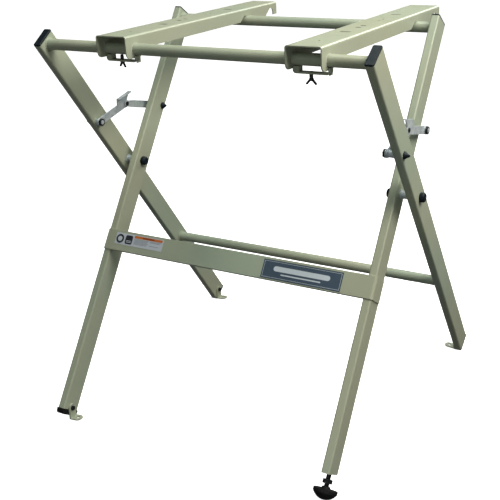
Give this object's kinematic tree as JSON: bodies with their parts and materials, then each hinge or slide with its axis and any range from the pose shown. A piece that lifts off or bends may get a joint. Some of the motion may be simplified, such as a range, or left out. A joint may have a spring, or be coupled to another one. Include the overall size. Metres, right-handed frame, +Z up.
{
  "type": "folding sawhorse stand",
  "caption": "Folding scissor-leg work stand with crossed tube frames, hinged side braces, sliding clamp-on top rails and a screw-levelling foot.",
  "frame": {"origin": "on the floor, below the middle of the main pivot line", "axes": "+X along the cross tubes to the right, +Y to the rear, +Z up"},
  "size_m": [0.646, 0.613, 0.7012],
  "materials": {
    "frame_paint": "satin",
    "black_plastic": "satin",
    "rubber": "matte",
    "zinc_steel": "zinc plated",
    "black_steel": "black oxide",
    "nylon": "matte",
    "maker_label": "printed film",
    "notice_label": "printed film"
  },
  "bodies": {
    "outer_frame": {"outer_leg_left": "frame_paint", "outer_leg_right": "frame_paint", "front_top_tube": "frame_paint", "rear_lower_tube": "frame_paint", "outer_top_cap_left": "black_plastic", "outer_top_cap_right": "black_plastic", "rear_foot_cap_left": "black_plastic", "rear_foot_cap_right": "black_plastic", "rear_bracket_left": "frame_paint", "rear_bracket_right": "frame_paint", "rear_bracket_screws": "black_steel", "pivot_bolts": "zinc_steel", "pivot_spacers": "zinc_steel", "pivot_lock_nuts": "zinc_steel", "pivot_caps": "black_plastic", "brace_studs_outer": "zinc_steel", "brace_standoffs_outer": "zinc_steel", "brace_washers_outer": "zinc_steel", "brace_nuts_outer": "black_steel", "brace_cone_caps_outer": "black_plastic"},
    "inner_frame": {"inner_leg_left": "frame_paint", "inner_leg_right": "frame_paint", "rear_top_tube": "frame_paint", "front_strap": "frame_paint", "inner_top_cap_left": "black_plastic", "inner_top_cap_right": "black_plastic", "pivot_bushes": "nylon", "foot_boot": "rubber", "front_bracket": "frame_paint", "front_bracket_screw": "black_steel", "foot_insert": "zinc_steel", "maker_plate": "maker_label", "warning_plate": "notice_label", "brace_studs_inner": "zinc_steel", "brace_standoffs_inner": "zinc_steel", "brace_washers_inner": "zinc_steel", "brace_nuts_inner": "black_steel", "brace_cone_caps_inner": "black_plastic"},
    "hook_link_left": {"hook_link_left": "zinc_steel"},
    "plain_link_left": {"plain_link_left": "zinc_steel", "rivet_left": "black_steel"},
    "hook_link_right": {"hook_link_right": "zinc_steel", "rivet_right": "black_steel"},
    "plain_link_right": {"plain_link_right": "zinc_steel"},
    "glide_left": {"glide_rings_left": "nylon"},
    "rail_left": {"rail_left": "frame_paint", "clamp_bar_left": "frame_paint"},
    "screw_pad_left": {"screw_pad_left": "black_steel"},
    "wing_bolt_left": {"wing_bolt_left": "black_steel"},
    "glide_right": {"glide_rings_right": "nylon"},
    "rail_right": {"rail_right": "frame_paint", "clamp_bar_right": "frame_paint"},
    "screw_pad_right": {"screw_pad_right": "black_steel"},
    "wing_bolt_right": {"wing_bolt_right": "black_steel"},
    "levelling_pad": {"levelling_pad": "rubber"},
    "levelling_stud": {"levelling_stud": "black_steel"}
  },
  "joints": [
    {"name": "frame_fold", "type": "hinge", "parent": "outer_frame", "child": "inner_frame", "pos_m": [0, 0, 0.42644], "axis": [1, 0, 0], "range_deg": [0, 63]},
    {"name": "hook_link_left_turn", "type": "hinge", "parent": "outer_frame", "child": "hook_link_left", "pos_m": [-0.29175, -0.07911, 0.51937], "axis": [1, 0, 0], "range_deg": [0, 95]},
    {"name": "plain_link_right_turn", "type": "hinge", "parent": "outer_frame", "child": "plain_link_right", "pos_m": [0.28575, -0.07911, 0.51937], "axis": [1, 0, 0], "range_deg": [0, 95]},
    {"name": "plain_link_left_turn", "type": "hinge", "parent": "inner_frame", "child": "plain_link_left", "pos_m": [-0.28875, 0.07911, 0.51937], "axis": [1, 0, 0], "range_deg": [-95, 0]},
    {"name": "hook_link_right_turn", "type": "hinge", "parent": "inner_frame", "child": "hook_link_right", "pos_m": [0.28875, 0.07911, 0.51937], "axis": [1, 0, 0], "range_deg": [-95, 0]},
    {"name": "rail_left_slide", "type": "slide", "parent": "outer_frame", "child": "glide_left", "axis": [1, 0, 0], "range_m": [-0.08, 0.087]},
    {"name": "rail_left_swing", "type": "hinge", "parent": "glide_left", "child": "rail_left", "pos_m": [-0.1435, -0.17551, 0.6771], "axis": [1, 0, 0], "range_deg": [0, 296.2]},
    {"name": "clamp_left_travel", "type": "slide", "parent": "rail_left", "child": "screw_pad_left", "axis": [0, 0, 1], "range_m": [-0.0076, 0]},
    {"name": "clamp_left_turn", "type": "hinge", "parent": "screw_pad_left", "child": "wing_bolt_left", "pos_m": [-0.1435, -0.17551, 0.6771], "axis": [0, 0, 1], "range_deg": [-2737, 0]},
    {"name": "rail_right_slide", "type": "slide", "parent": "outer_frame", "child": "glide_right", "axis": [1, 0, 0], "range_m": [-0.143, 0.025]},
    {"name": "rail_right_swing", "type": "hinge", "parent": "glide_right", "child": "rail_right", "pos_m": [0.204, -0.17551, 0.6771], "axis": [1, 0, 0], "range_deg": [0, 296.2]},
    {"name": "clamp_right_travel", "type": "slide", "parent": "rail_right", "child": "screw_pad_right", "axis": [0, 0, 1], "range_m": [-0.001, 0.0066]},
    {"name": "clamp_right_turn", "type": "hinge", "parent": "screw_pad_right", "child": "wing_bolt_right", "pos_m": [0.204, -0.17551, 0.6771], "axis": [0, 0, 1], "range_deg": [-361, 2377]},
    {"name": "foot_travel", "type": "slide", "parent": "inner_frame", "child": "levelling_pad", "axis": [0, -0.5736, -0.8192], "range_m": [-0.004, 0.012]},
    {"name": "foot_turn", "type": "hinge", "parent": "levelling_pad", "child": "levelling_stud", "pos_m": [0.2705, 0, 0.42644], "axis": [0, -0.5736, -0.8192], "range_deg": [-1153, 3457]}
  ],
  "couplings": [
    {"joint": "hook_link_left_turn", "follows": "frame_fold", "ratio": 1.5052},
    {"joint": "plain_link_right_turn", "follows": "frame_fold", "ratio": 1.5052},
    {"joint": "plain_link_left_turn", "follows": "frame_fold", "ratio": -1.5052},
    {"joint": "hook_link_right_turn", "follows": "frame_fold", "ratio": -1.5052},
    {"joint": "rail_left_swing", "follows": "frame_fold", "ratio": 4.7},
    {"joint": "rail_right_swing", "follows": "frame_fold", "ratio": 4.7},
    {"joint": "clamp_left_turn", "follows": "clamp_left_travel", "rad_per_m": 6283.2},
    {"joint": "clamp_right_turn", "follows": "clamp_right_travel", "rad_per_m": 6283.2},
    {"joint": "foot_turn", "follows": "foot_travel", "rad_per_m": 5026.5}
  ]
}
